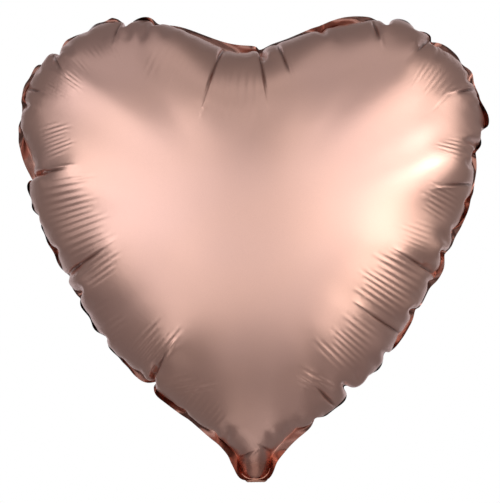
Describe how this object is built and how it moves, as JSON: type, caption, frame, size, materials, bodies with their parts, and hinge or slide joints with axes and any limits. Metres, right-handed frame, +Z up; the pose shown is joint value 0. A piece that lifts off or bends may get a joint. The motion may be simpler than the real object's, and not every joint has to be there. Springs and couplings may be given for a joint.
{
  "type": "heart-shaped foil balloon",
  "caption": "Inflated heart-shaped foil balloon in satin rose copper, with a sealed margin and a flat inflation neck folded behind its point.",
  "frame": {"origin": "middle of the lower edge of the heart's point, in the plane of the seal, where a ribbon is tied", "axes": "+Z up towards the cleft, -Y out of the front panel, +X to the right as seen from the front"},
  "size_m": [0.3692, 0.196, 0.366],
  "materials": {
    "satin_foil": "satin metallised film, rose copper",
    "neck_foil": "glossy metallised film, darker copper",
    "valve_film": "clear thin film"
  },
  "bodies": {
    "envelope": {"front_panel": "satin_foil", "back_panel": "satin_foil", "valve_sleeve_front": "valve_film", "valve_sleeve_back": "valve_film"},
    "neck": {"neck_front_film": "neck_foil", "neck_back_film": "neck_foil", "valve_mouth_front": "valve_film", "valve_mouth_back": "valve_film"}
  },
  "joints": [
    {"name": "neck_fold", "type": "hinge", "parent": "envelope", "child": "neck", "pos_m": [0, 0.00155, 0], "axis": [-1, 0, 0], "range_deg": [0, 133]}
  ]
}
